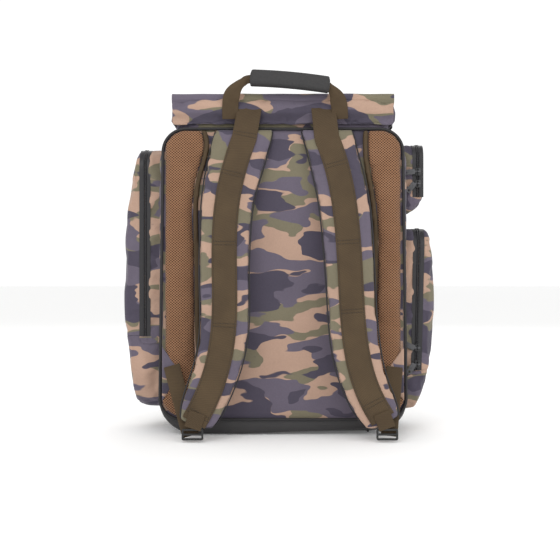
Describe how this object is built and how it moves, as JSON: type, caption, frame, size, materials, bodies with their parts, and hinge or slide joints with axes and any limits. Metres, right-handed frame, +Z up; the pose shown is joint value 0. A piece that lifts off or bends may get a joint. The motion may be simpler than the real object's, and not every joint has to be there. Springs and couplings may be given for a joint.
{
  "type": "tackle backpack",
  "caption": "Camouflage fishing rucksack with padded harness, mesh back, cap lid with side-release buckles, four zipped pockets and a waterproof base.",
  "frame": {"origin": "centre of the base's underside", "axes": "+Z up, -Y out of the back panel towards the wearer, +X to the right as the harness side is seen"},
  "size_m": [0.479, 0.3402, 0.566],
  "materials": {
    "camo_fabric": "woven polyester printed with a four-colour camouflage",
    "brown_mesh": "knitted spacer mesh",
    "olive_webbing": "ribbed polypropylene webbing",
    "black_pvc": "matt coated tarpaulin",
    "black_piping": "woven binding over cord",
    "black_tape": "zip tape with a nylon coil",
    "black_plastic": "moulded acetal, satin",
    "black_metal": "die-cast zinc, black lacquer",
    "grey_rubber": "moulded soft PVC, matt",
    "handle_rubber": "moulded foam rubber, matt",
    "stiffener_sheet": "plain polyethylene sheet"
  },
  "bodies": {
    "bag": {"base_tray": "black_pvc", "back_panel": "camo_fabric", "back_stiffener": "stiffener_sheet", "front_panel": "camo_fabric", "left_side_panel": "camo_fabric", "right_side_panel": "camo_fabric", "top_collar": "camo_fabric", "rear_yoke": "camo_fabric", "panel_pipings": "black_piping", "left_mesh_pad": "brown_mesh", "right_mesh_pad": "brown_mesh", "mesh_bindings": "olive_webbing", "left_strap_pad": "camo_fabric", "right_strap_pad": "camo_fabric", "left_strap_webbing": "olive_webbing", "right_strap_webbing": "olive_webbing", "strap_loops": "olive_webbing", "left_lower_webbing": "olive_webbing", "right_lower_webbing": "olive_webbing", "side_triangles": "camo_fabric", "buckle_sockets": "black_plastic", "socket_webbings": "olive_webbing", "left_pocket": "camo_fabric", "left_zip_inner": "black_tape", "right_upper_pocket": "camo_fabric", "right_upper_zip_inner": "black_tape", "right_lower_pocket": "camo_fabric", "right_lower_zip_inner": "black_tape", "front_pocket": "camo_fabric", "front_zip_inner": "black_tape"},
    "lid": {"lid_panel": "camo_fabric", "lid_piping": "black_piping", "lid_side_tab": "black_tape", "lid_webbings": "olive_webbing"},
    "left_plug": {"left_buckle_plug": "black_plastic"},
    "right_plug": {"right_buckle_plug": "black_plastic"},
    "handle": {"handle_webbing": "olive_webbing", "handle_grip": "handle_rubber"},
    "left_lock": {"left_ladder_lock": "black_plastic"},
    "right_lock": {"right_ladder_lock": "black_plastic"},
    "left_door": {"left_pocket_door": "camo_fabric", "left_zip_outer": "black_tape"},
    "left_slider_1": {"left_slider_1": "black_metal"},
    "left_pull_1": {"left_pull_1": "grey_rubber"},
    "right_upper_door": {"right_upper_pocket_door": "camo_fabric", "right_upper_zip_outer": "black_tape"},
    "right_upper_slider_1": {"right_upper_slider_1": "black_metal"},
    "right_upper_pull_1": {"right_upper_pull_1": "grey_rubber"},
    "right_upper_slider_2": {"right_upper_slider_2": "black_metal"},
    "right_upper_pull_2": {"right_upper_pull_2": "grey_rubber"},
    "right_lower_door": {"right_lower_pocket_door": "camo_fabric", "right_lower_zip_outer": "black_tape"},
    "right_lower_slider_1": {"right_lower_slider_1": "black_metal"},
    "right_lower_pull_1": {"right_lower_pull_1": "grey_rubber"},
    "right_lower_slider_2": {"right_lower_slider_2": "black_metal"},
    "right_lower_pull_2": {"right_lower_pull_2": "grey_rubber"},
    "front_door": {"front_pocket_door": "camo_fabric", "front_zip_outer": "black_tape"},
    "front_slider_1": {"front_slider_1": "black_metal"},
    "front_pull_1": {"front_pull_1": "grey_rubber"}
  },
  "joints": [
    {"name": "lid_hinge", "type": "hinge", "parent": "bag", "child": "lid", "pos_m": [0, -0.106, 0.521], "axis": [1, 0, 0], "range_deg": [0, 95]},
    {"name": "left_plug_slide", "type": "slide", "parent": "lid", "child": "left_plug", "axis": [0, 0, 1], "range_m": [0, 0.028]},
    {"name": "right_plug_slide", "type": "slide", "parent": "lid", "child": "right_plug", "axis": [0, 0, 1], "range_m": [0, 0.028]},
    {"name": "handle_hinge", "type": "hinge", "parent": "bag", "child": "handle", "pos_m": [0, -0.1076, 0.488], "axis": [1, 0, 0], "range_deg": [0, 120]},
    {"name": "left_lock_hinge", "type": "hinge", "parent": "bag", "child": "left_lock", "pos_m": [-0.134, -0.173, 0.0186], "axis": [-1, 0, 0], "range_deg": [0, 20]},
    {"name": "right_lock_hinge", "type": "hinge", "parent": "bag", "child": "right_lock", "pos_m": [0.154, -0.173, 0.0186], "axis": [-1, 0, 0], "range_deg": [0, 20]},
    {"name": "left_door_hinge", "type": "hinge", "parent": "bag", "child": "left_door", "pos_m": [-0.245, 0, 0.1523], "axis": [0, -1, 0], "range_deg": [0, 115]},
    {"name": "left_slider_1_slide", "type": "slide", "parent": "bag", "child": "left_slider_1", "axis": [0, 0, 1], "range_m": [-0.03, 0.22]},
    {"name": "left_pull_1_hinge", "type": "hinge", "parent": "left_slider_1", "child": "left_pull_1", "pos_m": [-0.217, 0.0823, 0.19], "axis": [0, 0, 1], "range_deg": [0, 150]},
    {"name": "right_upper_door_hinge", "type": "hinge", "parent": "bag", "child": "right_upper_door", "pos_m": [0.229, 0, 0.3723], "axis": [0, 1, 0], "range_deg": [0, 140]},
    {"name": "right_upper_slider_1_slide", "type": "slide", "parent": "bag", "child": "right_upper_slider_1", "axis": [0, 0, 1], "range_m": [0, 0.016]},
    {"name": "right_upper_pull_1_hinge", "type": "hinge", "parent": "right_upper_slider_1", "child": "right_upper_pull_1", "pos_m": [0.215, -0.0623, 0.412], "axis": [0, 0, 1], "range_deg": [0, 150]},
    {"name": "right_upper_slider_2_slide", "type": "slide", "parent": "bag", "child": "right_upper_slider_2", "axis": [0, 0, 1], "range_m": [-0.013, 0.005]},
    {"name": "right_upper_pull_2_hinge", "type": "hinge", "parent": "right_upper_slider_2", "child": "right_upper_pull_2", "pos_m": [0.215, -0.0623, 0.393], "axis": [0, 0, 1], "range_deg": [0, 150]},
    {"name": "right_lower_door_hinge", "type": "hinge", "parent": "bag", "child": "right_lower_door", "pos_m": [0.234, 0, 0.0983], "axis": [0, 1, 0], "range_deg": [0, 110]},
    {"name": "right_lower_slider_1_slide", "type": "slide", "parent": "bag", "child": "right_lower_slider_1", "axis": [0, 0, 1], "range_m": [0, 0.15]},
    {"name": "right_lower_pull_1_hinge", "type": "hinge", "parent": "right_lower_slider_1", "child": "right_lower_pull_1", "pos_m": [0.212, -0.0823, 0.134], "axis": [0, 0, 1], "range_deg": [0, 150]},
    {"name": "right_lower_slider_2_slide", "type": "slide", "parent": "bag", "child": "right_lower_slider_2", "axis": [0, 0, 1], "range_m": [0, 0.012]},
    {"name": "right_lower_pull_2_hinge", "type": "hinge", "parent": "right_lower_slider_2", "child": "right_lower_pull_2", "pos_m": [0.212, -0.0823, 0.108], "axis": [0, 0, 1], "range_deg": [0, 150]},
    {"name": "front_door_hinge", "type": "hinge", "parent": "bag", "child": "front_door", "pos_m": [0, 0.163, 0.0763], "axis": [-1, 0, 0], "range_deg": [0, 100]},
    {"name": "front_slider_1_slide", "type": "slide", "parent": "bag", "child": "front_slider_1", "axis": [0, 0, 1], "range_m": [-0.025, 0.18]},
    {"name": "front_pull_1_hinge", "type": "hinge", "parent": "front_slider_1", "child": "front_pull_1", "pos_m": [0.1473, 0.135, 0.11], "axis": [0, 0, 1], "range_deg": [0, 150]}
  ]
}
